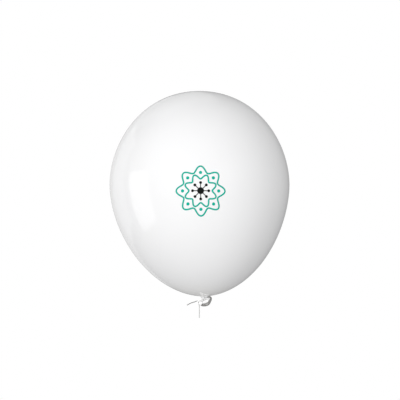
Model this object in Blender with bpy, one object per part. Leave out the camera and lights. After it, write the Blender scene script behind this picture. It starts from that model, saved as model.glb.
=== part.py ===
"""A printed party balloon of latex rubber, blown up, knotted and tied with a short string.

Units are metres and +Z is up. The origin is on the balloon's upright axis, at the height
where the envelope is widest. The printed side faces -Y. Below the widest height the axis
leans a little towards +X, where the knot pulls it.
"""

import math

import bmesh
import bpy
from mathutils import Vector

MM = 0.001

# The envelope: its width, and how far it reaches above and below its widest height
ENVELOPE_WIDTH = 280 * MM
HEIGHT_ABOVE = 146.1 * MM
DEPTH_BELOW = 173.4 * MM
ENVELOPE_WALL = 0.4 * MM
# Powers of the two halves of the outline, radius = half width * (1 - share ** a) ** (1 / b)
UPPER_POWERS = (1.91, 2.11)
LOWER_POWERS = (1.79, 1.9)
AXIS_LEAN = 5.5 * MM
AXIS_LEAN_POWER = 2.0
ENVELOPE_SEGMENTS = 56
RINGS_ABOVE = 12
RINGS_BELOW = 14

# The nozzle, a short collar under the envelope that opens into it
NOZZLE_TURN_RADIUS = 8 * MM
NOZZLE_RADIUS = 3.5 * MM
NOZZLE_DEPTH = 174.6 * MM
# The turn between envelope and nozzle, as (distance outside the nozzle, share of the way down)
NOZZLE_TURN = ((1.6 * MM, 0.22), (0.4 * MM, 0.55), (0.0, 1.0))

# The gap between pieces that touch
SEAT_GAP = 0.3 * MM

# The neck: gathered rubber from the nozzle down to the knot, as (place, radius)
NECK_STATIONS = (
    ((5.5 * MM, 0.0, -174.9 * MM), 3.1 * MM),
    ((4.9 * MM, -0.1 * MM, -176.8 * MM), 2.8 * MM),
    ((4.1 * MM, -0.2 * MM, -178.4 * MM), 2.0 * MM),
    ((3.8 * MM, -0.2 * MM, -179.2 * MM), 1.4 * MM),
    ((3.6 * MM, -0.2 * MM, -180.4 * MM), 1.3 * MM),
    ((3.2 * MM, -0.3 * MM, -181.3 * MM), 1.6 * MM),
)
NECK_SIDES = 20
NECK_GATHERS = 5
NECK_GATHER_DEPTH = 0.07

# The knot: a fat wrap of the neck round its own core
KNOT_CENTRE = Vector((1.8 * MM, -0.6 * MM, -184.3 * MM))
KNOT_WRAP_RADIUS = 1.85 * MM
KNOT_STRAND_RADIUS = 1.35 * MM
KNOT_TILT = math.radians(15)
KNOT_DEPTH_SHARE = 0.85
KNOT_WRAP_STEPS = 24
KNOT_CORE_HALF_SIZES = (2.2 * MM, 2.0 * MM, 2.7 * MM)
KNOT_CORE_SEGMENTS = (20, 12)

# The mouth: a flared funnel that sticks out of the knot to the right and back
THROAT_CENTRE = Vector((6.6 * MM, 0.4 * MM, -182.8 * MM))
THROAT_RADIUS = 1.5 * MM
MOUTH_WALL = 0.5 * MM
MOUTH_REACH = 2.8 * MM
MOUTH_RINGS = 6

# The rolled lip: a bead along the mouth's edge, as (place, radius) in turn
LIP_STATIONS_MM = (
    ((3.6, 5.2, -186.2), 2.0),
    ((8.5, 3.6, -186.4), 2.4),
    ((13.2, 3.4, -184.9), 2.4),
    ((15.8, 3.8, -181.1), 2.2),
    ((17.5, 5.2, -177.0), 1.7),
    ((16.5, 7.2, -174.4), 1.5),
    ((12.1, 9.8, -174.7), 1.5),
    ((7.4, 10.2, -177.1), 1.5),
    ((3.6, 8.6, -181.9), 1.7),
)
LIP_STEPS_BETWEEN_STATIONS = 4

# The string: twisted twine round the neck, with a knot and two cut tails
STRING_DIAMETER = 1.3 * MM
STRING_WRAP_CENTRE = Vector((3.7 * MM, -0.2 * MM, -179.9 * MM))
STRING_WRAP_RADIUS = 2.4 * MM
STRING_WRAP_STEPS = 16
STRING_KNOT_CENTRE = Vector((-1.15 * MM, -0.6 * MM, -179.9 * MM))
STRING_KNOT_HALF_SIZES = (1.5 * MM, 1.4 * MM, 1.6 * MM)
SHORT_TAIL_MM = (
    (-3.0, -0.8, -180.2),
    (-5.9, -1.3, -181.6),
    (-9.2, -1.7, -182.7),
    (-12.3, -2.0, -183.7),
    (-15.4, -2.3, -185.1),
    (-19.2, -2.5, -187.4),
)
LONG_TAIL_MM = (
    (-1.5, 0.9, -181.9),
    (-1.3, 2.0, -183.4),
    (-0.8, 2.7, -185.4),
    (-0.3, 2.7, -188.6),
    (-0.2, 2.6, -193.0),
    (-0.2, 2.5, -199.5),
    (-0.2, 2.5, -206.7),
)
TAIL_STEPS_BETWEEN_POINTS = 2

# The print: two scalloped rings of one colour and a dotted burst of another
PRINT_CENTRE = (1.6 * MM, -26.5 * MM)
PRINT_LINE_WIDTH = 2.3 * MM
PRINT_THICKNESS = 0.3 * MM
PRINT_LIFT = 0.3 * MM
SCALLOPS = 8
OUTER_RING_RADIUS = 32 * MM
OUTER_RING_WAVE = 4.5 * MM
INNER_RING_RADIUS = 21 * MM
INNER_RING_WAVE = 3.5 * MM
RING_STEPS = 96
BURST_HUB_RADIUS = 5 * MM
BURST_SPOKE_WIDTH = 1.2 * MM
BURST_DOT_PLACE = 12 * MM
BURST_DOT_RADIUS = 2.1 * MM
BURST_DOT_STEPS = 8

WHITE_RUBBER = ("white_rubber", (0.86, 0.86, 0.87, 1.0), 0.28)
GREY_RUBBER = ("gathered_rubber", (0.72, 0.72, 0.73, 1.0), 0.35)
LIP_RUBBER = ("lip_rubber", (0.5, 0.5, 0.5, 1.0), 0.4)
TWINE = ("white_twine", (0.75, 0.75, 0.75, 1.0), 0.85)
FIRST_INK = ("teal_ink", (0.01, 0.38, 0.29, 1.0), 0.4)
SECOND_INK = ("black_ink", (0.012, 0.012, 0.012, 1.0), 0.4)


def clear_scene():
    for obj in list(bpy.data.objects):
        bpy.data.objects.remove(obj, do_unlink=True)


def material(finish):
    """The Principled material of one finish, made on first use."""
    name, colour, roughness = finish
    made = bpy.data.materials.get(name)
    if made is None:
        made = bpy.data.materials.new(name)
        made.use_nodes = True
        shader = made.node_tree.nodes["Principled BSDF"]
        shader.inputs["Base Color"].default_value = colour
        shader.inputs["Roughness"].default_value = roughness
        shader.inputs["Metallic"].default_value = 0.0
        made.diffuse_color = colour
    return made


def add_object(name, data, finish):
    obj = bpy.data.objects.new(name, data)
    bpy.context.scene.collection.objects.link(obj)
    data.materials.append(material(finish))
    if obj.type == "MESH":
        data.shade_smooth()
    return obj


def mesh_from(bm, name):
    mesh = bpy.data.meshes.new(name)
    bm.to_mesh(mesh)
    bm.free()
    return mesh


def thicken(obj, thickness, offset, even=True):
    wall = obj.modifiers.new("Wall", "SOLIDIFY")
    wall.thickness = thickness
    wall.offset = offset
    wall.use_even_offset = even
    wall.use_rim = True


def envelope_radius(z):
    """The outer radius of the envelope's round section at height z."""
    if z >= 0:
        share, (a, b) = z / HEIGHT_ABOVE, UPPER_POWERS
    else:
        share, (a, b) = -z / DEPTH_BELOW, LOWER_POWERS
    return ENVELOPE_WIDTH / 2 * max(0.0, 1 - min(share, 1.0) ** a) ** (1 / b)


def axis_shift(z):
    """How far the section's centre lies towards +X at height z."""
    return AXIS_LEAN * min(max(-z, 0.0) / DEPTH_BELOW, 1.0) ** AXIS_LEAN_POWER


def envelope_profile():
    """(radius, z) down the outer skin, from the top to the nozzle's edge."""
    points = [(0.0, HEIGHT_ABOVE)]
    for i in range(RINGS_ABOVE - 1, -1, -1):
        z = HEIGHT_ABOVE * math.sin(math.pi / 2 * i / RINGS_ABOVE)
        points.append((envelope_radius(z), z))
    for i in range(1, RINGS_BELOW):
        z = -DEPTH_BELOW * math.sin(math.pi / 2 * i / RINGS_BELOW)
        if envelope_radius(z) > NOZZLE_TURN_RADIUS:
            points.append((envelope_radius(z), z))
    share = 1 - (2 * NOZZLE_TURN_RADIUS / ENVELOPE_WIDTH) ** LOWER_POWERS[1]
    turn_z = -DEPTH_BELOW * share ** (1 / LOWER_POWERS[0])
    fall = turn_z + NOZZLE_DEPTH
    points.append((NOZZLE_TURN_RADIUS, turn_z))
    points += [(NOZZLE_RADIUS + outside, turn_z - down * fall) for outside, down in NOZZLE_TURN]
    return points


def build_envelope():
    bm = bmesh.new()
    verts = [bm.verts.new((radius, 0, z)) for radius, z in envelope_profile()]
    edges = [bm.edges.new(pair) for pair in zip(verts, verts[1:])]
    bmesh.ops.spin(
        bm, geom=verts + edges, cent=(0, 0, 0), axis=(0, 0, 1), angle=2 * math.pi,
        steps=ENVELOPE_SEGMENTS, use_merge=True,
    )
    bmesh.ops.remove_doubles(bm, verts=bm.verts, dist=1e-6)
    for vert in bm.verts:
        vert.co.x += axis_shift(vert.co.z)
    bmesh.ops.recalc_face_normals(bm, faces=bm.faces)
    obj = add_object("envelope", mesh_from(bm, "envelope"), WHITE_RUBBER)
    thicken(obj, ENVELOPE_WALL, -1)


def through(points, steps, closed):
    """A smooth curve through the points, with that many steps from each to the next."""
    points = [Vector(p) for p in points]
    count = len(points)

    def at(i):
        return points[i % count] if closed else points[min(max(i, 0), count - 1)]

    found = []
    for i in range(count if closed else count - 1):
        a, b, c, d = at(i - 1), at(i), at(i + 1), at(i + 2)
        for k in range(steps):
            t = k / steps
            found.append(
                0.5 * (2 * b + (c - a) * t + (2 * a - 5 * b + 4 * c - d) * t * t
                       + (3 * b - a - 3 * c + d) * t ** 3)
            )
    if not closed:
        found.append(points[-1])
    return found


def in_metres(points_mm):
    return [Vector(p) * MM for p in points_mm]


def build_tube(name, points, radius, finish, closed=False, resolution=2, swell=None):
    """A round tube along the points, whose radius at each is scaled by its swell."""
    curve = bpy.data.curves.new(name, "CURVE")
    curve.dimensions = "3D"
    curve.bevel_depth = radius
    curve.bevel_resolution = resolution
    curve.use_fill_caps = not closed
    spline = curve.splines.new("POLY")
    spline.points.add(len(points) - 1)
    for point, place, scale in zip(spline.points, points, swell or [1.0] * len(points)):
        point.co = (*place, 1)
        point.radius = scale
    spline.use_cyclic_u = closed
    return add_object(name, curve, finish)


def build_neck():
    """A gathered tube with a flat top, lofted through the neck's stations."""
    bm = bmesh.new()
    rings = []
    for place, radius in NECK_STATIONS:
        ring = []
        for k in range(NECK_SIDES):
            angle = 2 * math.pi * k / NECK_SIDES
            r = radius * (1 + NECK_GATHER_DEPTH * math.cos(NECK_GATHERS * angle))
            aside = Vector((r * math.cos(angle), r * math.sin(angle), 0))
            ring.append(bm.verts.new(Vector(place) + aside))
        rings.append([bm.edges.new((a, b)) for a, b in zip(ring, ring[1:] + ring[:1])])
    for upper, lower in zip(rings, rings[1:]):
        bmesh.ops.bridge_loops(bm, edges=upper + lower)
    bmesh.ops.holes_fill(bm, edges=rings[0] + rings[-1], sides=0)
    bmesh.ops.recalc_face_normals(bm, faces=bm.faces)
    add_object("neck", mesh_from(bm, "neck"), GREY_RUBBER)


def build_knot():
    """A tilted wrap and the core that it squeezes, joined into one body."""
    wrap_points = []
    for k in range(KNOT_WRAP_STEPS):
        angle = 2 * math.pi * k / KNOT_WRAP_STEPS
        x = KNOT_WRAP_RADIUS * math.cos(angle)
        y = KNOT_WRAP_RADIUS * KNOT_DEPTH_SHARE * math.sin(angle)
        wrap_points.append(KNOT_CENTRE + Vector((x, y, x * math.tan(KNOT_TILT))))
    core_bm = bmesh.new()
    across, down = KNOT_CORE_SEGMENTS
    bmesh.ops.create_uvsphere(core_bm, u_segments=across, v_segments=down, radius=1)
    bmesh.ops.scale(core_bm, vec=KNOT_CORE_HALF_SIZES, verts=core_bm.verts)
    bmesh.ops.translate(core_bm, vec=KNOT_CENTRE, verts=core_bm.verts)
    core = add_object("knot_core", mesh_from(core_bm, "knot_core"), GREY_RUBBER)
    core.hide_render = True
    core.display_type = "WIRE"
    wrap = build_tube("knot_wrap", wrap_points, KNOT_STRAND_RADIUS, GREY_RUBBER, closed=True, resolution=3)
    mesh = bpy.data.meshes.new_from_object(wrap)
    bpy.data.objects.remove(wrap, do_unlink=True)
    mesh.materials.clear()
    knot = add_object("knot", mesh, GREY_RUBBER)
    union = knot.modifiers.new("Core", "BOOLEAN")
    union.operation = "UNION"
    union.object = core


def lip_loop():
    """The bead's centre line, and its radius at each point of it."""
    places = in_metres([place for place, _ in LIP_STATIONS_MM])
    radii = in_metres([(radius, 0, 0) for _, radius in LIP_STATIONS_MM])
    steps = LIP_STEPS_BETWEEN_STATIONS
    return through(places, steps, closed=True), [r.x for r in through(radii, steps, closed=True)]


def build_rolled_lip():
    points, radii = lip_loop()
    thickest = max(radii)
    swell = [radius / thickest for radius in radii]
    build_tube("rolled_lip", points, thickest, LIP_RUBBER, closed=True, resolution=3, swell=swell)


def build_mouth():
    """The funnel: each line of it leaves the throat along its axis and turns out to the lip."""
    lip, bead_radii = lip_loop()
    middle = sum(lip, Vector()) / len(lip)
    axis = (middle - THROAT_CENTRE).normalized()
    across = axis.cross(Vector((0, 0, 1))).normalized()
    up = across.cross(axis)
    lines = []
    for k, (end, bead_radius) in enumerate(zip(lip, bead_radii)):
        away = end - THROAT_CENTRE
        outward = (across * away.dot(across) + up * away.dot(up)).normalized()
        start = THROAT_CENTRE + outward * THROAT_RADIUS
        turn = start + axis * MOUTH_REACH + outward * 0.5 * THROAT_RADIUS
        along = (lip[(k + 1) % len(lip)] - lip[k - 1]).normalized()
        square = (end - turn) - along * (end - turn).dot(along)
        end = end - square.normalized() * (bead_radius + SEAT_GAP + MOUTH_WALL)
        line = []
        for i in range(MOUTH_RINGS + 1):
            t = i / MOUTH_RINGS
            line.append((1 - t) ** 2 * start + 2 * t * (1 - t) * turn + t * t * end)
        lines.append(line)
    bm = bmesh.new()
    rings = []
    for k in range(MOUTH_RINGS + 1):
        ring = [bm.verts.new(line[k]) for line in lines]
        rings.append([bm.edges.new((a, b)) for a, b in zip(ring, ring[1:] + ring[:1])])
    for inner, outer in zip(rings, rings[1:]):
        bmesh.ops.bridge_loops(bm, edges=inner + outer)
    bmesh.ops.recalc_face_normals(bm, faces=bm.faces)
    obj = add_object("mouth", mesh_from(bm, "mouth"), GREY_RUBBER)
    thicken(obj, MOUTH_WALL, 0, even=False)


def build_string():
    radius = STRING_DIAMETER / 2
    ring = []
    for k in range(STRING_WRAP_STEPS):
        angle = 2 * math.pi * k / STRING_WRAP_STEPS
        aside = Vector((math.cos(angle), math.sin(angle), 0)) * STRING_WRAP_RADIUS
        ring.append(STRING_WRAP_CENTRE + aside)
    build_tube("string_wrap", ring, radius, TWINE, closed=True)
    bm = bmesh.new()
    bmesh.ops.create_icosphere(bm, subdivisions=2, radius=1)
    bmesh.ops.scale(bm, vec=STRING_KNOT_HALF_SIZES, verts=bm.verts)
    bmesh.ops.translate(bm, vec=STRING_KNOT_CENTRE, verts=bm.verts)
    add_object("string_knot", mesh_from(bm, "string_knot"), TWINE)
    for name, route in (("string_tail_short", SHORT_TAIL_MM), ("string_tail_long", LONG_TAIL_MM)):
        points = through(in_metres(route), TAIL_STEPS_BETWEEN_POINTS, closed=False)
        build_tube(name, points, radius, TWINE)


def on_print_side(across, up):
    """The point of the envelope's printed side at that place from the print's centre."""
    z = PRINT_CENTRE[1] + up
    radius = envelope_radius(z) + PRINT_LIFT
    angle = (PRINT_CENTRE[0] + across) / radius
    return Vector((axis_shift(z) + radius * math.sin(angle), -radius * math.cos(angle), z))


def drape(bm, name, finish):
    """Lays a flat shape, drawn in X and Z, on the envelope and gives it its thickness."""
    for vert in bm.verts:
        vert.co = on_print_side(vert.co.x, vert.co.z)
    bm.normal_update()
    if sum(face.normal.y * face.calc_area() for face in bm.faces) > 0:
        bmesh.ops.reverse_faces(bm, faces=bm.faces)
    obj = add_object(name, mesh_from(bm, name), finish)
    thicken(obj, PRINT_THICKNESS, 1, even=False)


def build_scalloped_ring(name, radius, wave, turn):
    """A line of even width along a closed wave round the print's centre."""
    bm = bmesh.new()
    loops = []
    for side in (-0.5, 0.5):
        ring = []
        for k in range(RING_STEPS):
            angle = 2 * math.pi * k / RING_STEPS
            phase = SCALLOPS * angle + turn
            r = radius + wave * math.cos(phase)
            slope = -wave * SCALLOPS * math.sin(phase)
            out = Vector((math.cos(angle), 0, math.sin(angle)))
            along = Vector((-math.sin(angle), 0, math.cos(angle)))
            normal = (out * r - along * slope).normalized()
            ring.append(bm.verts.new(out * r + normal * side * PRINT_LINE_WIDTH))
        loops += [bm.edges.new((a, b)) for a, b in zip(ring, ring[1:] + ring[:1])]
    bmesh.ops.bridge_loops(bm, edges=loops)
    drape(bm, name, FIRST_INK)


def burst_outline():
    """(across, up) round the hub, its spokes and the dots at their ends."""
    half = BURST_SPOKE_WIDTH / 2
    at_hub = math.sqrt(BURST_HUB_RADIUS ** 2 - half ** 2)
    opening = math.asin(half / BURST_DOT_RADIUS)
    points = []
    for s in range(SCALLOPS):
        angle = 2 * math.pi * s / SCALLOPS
        local = [(at_hub, -half)]
        for k in range(BURST_DOT_STEPS + 1):
            turn = -(math.pi - opening) + 2 * (math.pi - opening) * k / BURST_DOT_STEPS
            local.append((
                BURST_DOT_PLACE + BURST_DOT_RADIUS * math.cos(turn), BURST_DOT_RADIUS * math.sin(turn),
            ))
        local.append((at_hub, half))
        half_way = math.pi / SCALLOPS
        local.append((BURST_HUB_RADIUS * math.cos(half_way), BURST_HUB_RADIUS * math.sin(half_way)))
        for x, z in local:
            points.append((
                x * math.cos(angle) - z * math.sin(angle), x * math.sin(angle) + z * math.cos(angle),
            ))
    return points


def build_burst():
    bm = bmesh.new()
    face = bm.faces.new([bm.verts.new((x, 0, z)) for x, z in burst_outline()])
    face.normal_update()
    bmesh.ops.triangulate(bm, faces=[face])
    drape(bm, "print_burst", SECOND_INK)


def main():
    clear_scene()
    build_envelope()
    build_neck()
    build_knot()
    build_mouth()
    build_rolled_lip()
    build_string()
    build_scalloped_ring("print_outer_ring", OUTER_RING_RADIUS, OUTER_RING_WAVE, 0)
    build_scalloped_ring("print_inner_ring", INNER_RING_RADIUS, INNER_RING_WAVE, math.pi)
    build_burst()


main()
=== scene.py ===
"""A printed party balloon: white latex, a tied neck with its rolled mouth, and a short string.

Lengths are metres and +Z is up. The origin is on the balloon's upright axis, at the height
where it is widest, and the printed side faces -Y.
"""

import logging
import math
from collections.abc import Callable, Iterable, Sequence
from dataclasses import dataclass, field
from enum import Enum

import bmesh
import bpy
from bmesh.types import BMesh, BMVert
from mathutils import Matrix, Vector, noise


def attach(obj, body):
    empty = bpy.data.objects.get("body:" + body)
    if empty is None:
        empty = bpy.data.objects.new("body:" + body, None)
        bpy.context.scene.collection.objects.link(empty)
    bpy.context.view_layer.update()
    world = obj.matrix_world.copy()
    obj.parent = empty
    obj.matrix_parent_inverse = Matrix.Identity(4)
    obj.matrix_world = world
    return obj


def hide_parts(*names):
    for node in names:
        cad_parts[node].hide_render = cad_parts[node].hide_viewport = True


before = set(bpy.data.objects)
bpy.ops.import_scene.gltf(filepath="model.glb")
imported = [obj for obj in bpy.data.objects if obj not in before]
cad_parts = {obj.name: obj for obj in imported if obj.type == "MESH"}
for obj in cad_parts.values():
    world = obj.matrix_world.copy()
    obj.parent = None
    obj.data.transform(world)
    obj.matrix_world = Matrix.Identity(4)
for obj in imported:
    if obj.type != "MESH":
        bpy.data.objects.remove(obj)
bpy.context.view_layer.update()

MM = 0.001
BODY = "root"
ORDER_WAY = Vector((0.5773, 0.7417, 0.3411))
LOG = logging.getLogger("party_balloon")

Colour = tuple[float, float, float]


class Slot(Enum):
    """The material slots."""

    WHITE_LATEX = "white_latex"
    GATHERED_LATEX = "gathered_latex"
    LIP_LATEX = "lip_latex"
    TWINE = "twine"
    TEAL_INK = "teal_ink"
    BLACK_INK = "black_ink"


# Shader trees


@dataclass(frozen=True)
class Wire:
    """An output in a shader tree, whose arithmetic adds Math nodes."""

    graph: "Graph"
    socket: bpy.types.NodeSocket

    def maths(self, operation: str, first: "Wire | float", second: "Wire | float") -> "Wire":
        """One Math node on two values."""
        return self.graph.node("ShaderNodeMath", {"operation": operation}, {0: first, 1: second})

    def __add__(self, other: "Wire | float") -> "Wire":
        """Sum."""
        return self.maths("ADD", self, other)

    def __radd__(self, other: "Wire | float") -> "Wire":
        """Sum, with the wire second."""
        return self.maths("ADD", other, self)

    def __sub__(self, other: "Wire | float") -> "Wire":
        """Difference."""
        return self.maths("SUBTRACT", self, other)

    def __rsub__(self, other: "Wire | float") -> "Wire":
        """Difference, with the wire second."""
        return self.maths("SUBTRACT", other, self)

    def __mul__(self, other: "Wire | float") -> "Wire":
        """Product."""
        return self.maths("MULTIPLY", self, other)

    def __rmul__(self, other: "Wire | float") -> "Wire":
        """Product, with the wire second."""
        return self.maths("MULTIPLY", other, self)

    def smooth(self, low: float, high: float) -> "Wire":
        """A smooth step.

        Args:
            low: Where it leaves 0.
            high: Where it reaches 1.

        Returns:
            The step, from 0 to 1.
        """
        return self.graph.node(
            "ShaderNodeMapRange",
            {"interpolation_type": "SMOOTHSTEP"},
            {"Value": self, "From Min": low, "From Max": high, "To Min": 0.0, "To Max": 1.0},
        )


class Graph:
    """The node tree of one new material, with its Principled shader."""

    def __init__(self, name: str) -> None:
        """Makes the material.

        Args:
            name: The material's name.
        """
        self.material = bpy.data.materials.new(name)
        self.material.use_nodes = True
        self.tree = self.material.node_tree
        self.shader = self.tree.nodes["Principled BSDF"]

    def node(
        self, kind: str, settings: dict[str, object], values: dict[str | int, object], output: str | int = 0
    ) -> Wire:
        """Adds one node.

        Args:
            kind: The node's type.
            settings: Its own settings, set before its sockets.
            values: What each input socket holds, a Wire or a constant.
            output: Which output to return.

        Returns:
            The chosen output.
        """
        made = self.tree.nodes.new(kind)
        for key, value in settings.items():
            setattr(made, key, value)
        for key, value in values.items():
            self.feed(made.inputs[key], value)
        return Wire(self, made.outputs[output])

    def feed(self, socket: bpy.types.NodeSocket, value: object) -> None:
        """Links a wire to a socket, or sets the socket's constant.

        Args:
            socket: The input socket.
            value: The Wire or the constant.
        """
        if isinstance(value, Wire):
            self.tree.links.new(value.socket, socket)
        else:
            socket.default_value = value

    def surface(self, **values: object) -> None:
        """Feeds the Principled shader's sockets, named with _ for each space."""
        for key, value in values.items():
            self.feed(self.shader.inputs[key.replace("_", " ")], value)

    def place(self) -> Wire:
        """The point on the piece, in metres."""
        return self.node("ShaderNodeTexCoord", {}, {}, "Object")

    def attribute(self, name: str) -> Wire:
        """A vector that the mesh carries under that name."""
        return self.node("ShaderNodeAttribute", {"attribute_name": name}, {}, "Vector")

    def part(self, vector: Wire, axis: str) -> Wire:
        """One of a vector's X, Y and Z."""
        return self.node("ShaderNodeSeparateXYZ", {}, {0: vector}, axis)

    def stretch(self, vector: Wire, factors: Colour) -> Wire:
        """The vector with each of its parts multiplied."""
        return self.node("ShaderNodeVectorMath", {"operation": "MULTIPLY"}, {0: vector, 1: factors})

    def speckle(self, vector: Wire, scale: float, detail: float = 2.0, roughness: float = 0.5) -> Wire:
        """Soft noise about 0.5.

        Args:
            vector: Where it is read.
            scale: How many cells it has in a unit.
            detail: How many finer layers it has.
            roughness: How much the finer layers weigh.

        Returns:
            The noise.
        """
        return self.node(
            "ShaderNodeTexNoise", {},
            {"Vector": vector, "Scale": scale, "Detail": detail, "Roughness": roughness},
        )

    def mix(self, share: Wire | float, first: Wire | Colour, second: Wire | Colour) -> Wire:
        """A colour between two, by a share from 0 to 1."""
        colours = [c if isinstance(c, Wire) else (*c, 1.0) for c in (first, second)]
        return self.node("ShaderNodeMix", {"data_type": "RGBA"}, {0: share, 6: colours[0], 7: colours[1]}, 2)

    def bump(self, height: Wire, distance: float, strength: float = 1.0) -> Wire:
        """A normal from a height, with that much relief in metres."""
        return self.node(
            "ShaderNodeBump", {}, {"Height": height, "Distance": distance, "Strength": strength}
        )


# Finishes


@dataclass(frozen=True)
class Latex:
    """Satin latex rubber, with a thin powder bloom and the marks of its dipping."""

    name: str
    tone: Colour
    thick_tone: Colour
    roughness: float
    grain: float
    subsurface: float = 0.0
    subsurface_reach: float = 2.5 * MM
    thick_from: float = 150 * MM
    thick_to: float = 173 * MM
    streak_share: float = 0.6
    crown_radii: tuple[float, float] = (4.95 * MM, 9 * MM)
    crown_from: float = 137.2 * MM
    crown_to: float = 140 * MM
    crown_share: float = 0.6
    cloud_scale: float = 16.0
    cloud_share: float = 0.35
    cloud_shade: float = 0.985
    cloud_roughness: float = 0.15
    bloom_scale: float = 55.0
    bloom_roughness: float = 0.25
    streak_scales: Colour = (160.0, 160.0, 9.0)
    grain_relief: float = 0.02 * MM
    refraction: float = 1.52

    def material(self) -> bpy.types.Material:
        """Mixes the tone with thicker rubber by the neck and at the crown, bloom and grain.

        Returns:
            The material.
        """
        g = Graph(self.name)
        place = g.place()
        height = g.part(place, "Z")
        aside = g.node("ShaderNodeVectorMath", {"operation": "LENGTH"},
                       {0: g.stretch(place, (1.0, 1.0, 0.0))}, "Value")
        cloud = g.speckle(place, self.cloud_scale, 3.0)
        streaks = g.speckle(g.stretch(place, self.streak_scales), 1.0, 2.0)
        thick = (0.0 - height).smooth(self.thick_from, self.thick_to)
        crown = (1.0 - aside.smooth(*self.crown_radii)) * height.smooth(self.crown_from, self.crown_to)
        heavy = (thick * (0.7 + self.streak_share * (streaks - 0.5))) + crown * self.crown_share
        shaded = [self.cloud_shade * c for c in self.tone]
        tone = g.mix(cloud.smooth(0.35, 0.65) * self.cloud_share, self.tone, shaded)
        bloom = g.speckle(place, self.bloom_scale, 4.0, 0.6)
        grain = g.speckle(place, self.grain, 3.0, 0.55)
        g.surface(
            Base_Color=g.mix(heavy, tone, self.thick_tone),
            Roughness=self.roughness * (0.8 + self.bloom_roughness * bloom + self.cloud_roughness * cloud),
            Normal=g.bump(grain, self.grain_relief, 0.5),
            IOR=self.refraction,
            Subsurface_Weight=self.subsurface,
            Subsurface_Radius=(1.0, 1.0, 1.0),
            Subsurface_Scale=self.subsurface_reach,
        )
        return g.material


@dataclass(frozen=True)
class Twine:
    """Twisted cotton string, with fibres that run along its strands; painted light makes it whitest where it
    is tied round the neck, and painted shade darkens its short cut end.
    """

    name: str
    light: Colour
    dark: Colour
    # Painted shade: the string's first stretch from its short cut end takes this darker colour, for the shade
    # it lies in.
    painted_end_shade: Colour
    painted_end_shade_to: float
    # Painted light: the stretch of string tied round the neck takes this whiter tone, for the light it is
    # seen in.
    tied: Colour = (0.93, 0.93, 0.92)
    painted_light_to: float = 38 * MM
    painted_end_shade_fibres: float = 0.4
    painted_end_shade_fade: tuple[float, float] = (0.85, 1.05)
    painted_light_fade: float = 1.05
    fibre_scales: Colour = (5.0, 5.0, 900.0)
    fuzz_scale: float = 5200.0
    fuzz_share: float = 0.35
    fuzz_range: tuple[float, float] = (0.3, 0.72)
    roughness: float = 0.78
    roughness_swing: float = 0.2
    relief: float = 0.05 * MM
    sheen: float = 0.25

    def material(self) -> bpy.types.Material:
        """Draws the fibres by the mesh's lay: the strand angle's cosine and sine, then the length.

        Returns:
            The material.
        """
        g = Graph(self.name)
        lay = g.attribute("lay")
        along = g.part(lay, "Z")
        # Painted shade darkens the stretch from the short cut end; this share is 0 there and 1 past it.
        past_end_shade = along.smooth(*(share * self.painted_end_shade_to for share in self.painted_end_shade_fade))
        # Painted light: past the painted shade and up to the end of the turn round the neck, the string takes
        # the whiter tied tone.
        tied = past_end_shade * (1.0 - along.smooth(self.painted_light_to, self.painted_light_fade * self.painted_light_to))
        fibres = g.speckle(g.stretch(lay, self.fibre_scales), 1.0, 3.0, 0.6)
        fuzz = g.speckle(g.place(), self.fuzz_scale, 2.0)
        shade = ((1 - self.fuzz_share) * fibres + self.fuzz_share * fuzz).smooth(*self.fuzz_range)
        # The painted shade of the short cut end, with its darker fibres.
        painted_end_shade = g.mix(shade, [self.painted_end_shade_fibres * c for c in self.painted_end_shade], self.painted_end_shade)
        untied = g.mix(past_end_shade, painted_end_shade, g.mix(shade, self.dark, self.light))
        g.surface(
            Base_Color=g.mix(tied, untied, self.tied),
            Roughness=self.roughness + self.roughness_swing * (fuzz - 0.5),
            Normal=g.bump(fibres * 0.7 + fuzz * 0.3, self.relief, 0.8),
            Sheen_Weight=self.sheen,
            Sheen_Roughness=0.5,
        )
        return g.material


@dataclass(frozen=True)
class Ink:
    """Ink that was printed on slack rubber and stretched with it: uneven, with fine pinholes."""

    name: str
    colour: Colour
    thin_colour: Colour
    roughness: float
    gloss: float = 0.12
    patch_scale: float = 210.0
    patch_range: tuple[float, float] = (0.45, 0.8)
    pinhole_scale: float = 1500.0
    pinhole_range: tuple[float, float] = (0.63, 0.74)
    thin_share: float = 0.45
    roughness_swing: float = 0.14
    relief: float = 0.015 * MM

    def material(self) -> bpy.types.Material:
        """Mixes full ink with thinner patches and fine pinholes.

        Returns:
            The material.
        """
        g = Graph(self.name)
        place = g.place()
        patches = g.speckle(place, self.patch_scale, 3.0, 0.6)
        pinholes = g.speckle(place, self.pinhole_scale, 2.0, 0.6)
        worn = patches.smooth(*self.patch_range) * self.thin_share
        thin = worn + pinholes.smooth(*self.pinhole_range) * self.thin_share
        g.surface(
            Base_Color=g.mix(thin, self.colour, self.thin_colour),
            Roughness=self.roughness + self.roughness_swing * (patches - 0.5),
            Normal=g.bump(pinholes, self.relief, 0.6),
            Specular_IOR_Level=self.gloss,
        )
        return g.material


@dataclass(frozen=True)
class StudioPaint:
    """Matt pale paint of the studio floor."""

    name: str = "studio_floor"
    colour: Colour = (0.88, 0.88, 0.88)
    roughness: float = 0.9
    cloud_scale: float = 0.9
    cloud_shade: float = 0.985

    def material(self) -> bpy.types.Material:
        """Mixes the paint, with a trace of unevenness.

        Returns:
            The material.
        """
        g = Graph(self.name)
        cloud = g.speckle(g.place(), self.cloud_scale, 3.0)
        g.surface(
            Base_Color=g.mix(cloud, self.colour, [self.cloud_shade * c for c in self.colour]),
            Roughness=self.roughness,
        )
        return g.material


# Shapes


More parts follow.
